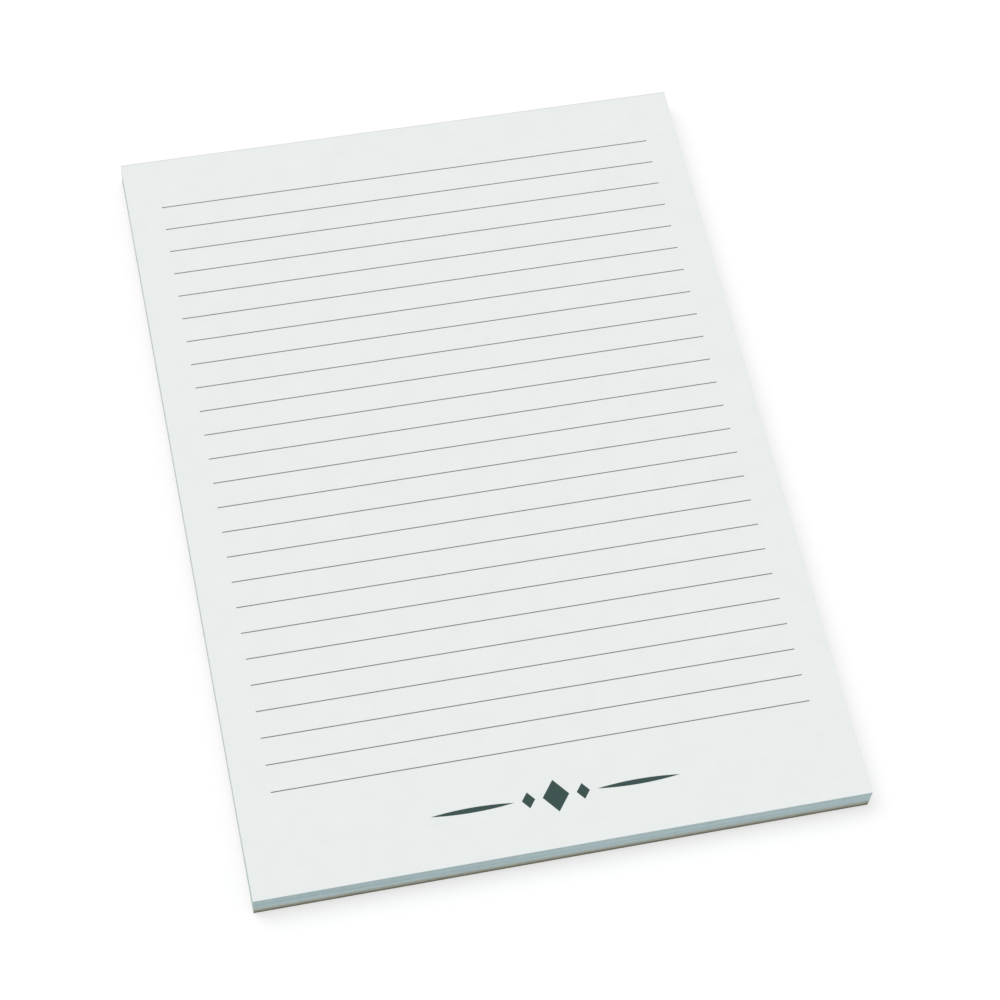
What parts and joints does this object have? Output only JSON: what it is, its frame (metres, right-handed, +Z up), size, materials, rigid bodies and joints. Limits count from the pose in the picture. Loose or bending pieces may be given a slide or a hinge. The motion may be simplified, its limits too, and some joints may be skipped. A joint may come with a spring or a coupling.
{
  "type": "notepad",
  "caption": "Flat notepad of ruled paper leaves, glued along the head onto a stiff grey backing board, for writing on and tearing leaves off.",
  "frame": {"origin": "middle of the footprint, at the underside of the backing board, on the surface that the pad lies on", "axes": "+X to the right of the page, +Y from the foot of the page to the glued head, +Z up out of the page"},
  "size_m": [0.148, 0.2102, 0.0072],
  "materials": {
    "paper": "matt uncoated writing paper, cool white",
    "grey_board": "matt recycled pulp board, brownish grey",
    "padding_glue": "dried flexible glue film, milky white, soft sheen",
    "rule_ink": "matt grey printing ink",
    "tail_ink": "matt dark teal printing ink"
  },
  "bodies": {
    "root": {"backing_board": "grey_board", "page_block": "paper", "binding_glue": "padding_glue", "ruled_lines": "rule_ink", "footer_tailpiece": "tail_ink"}
  },
  "joints": []
}
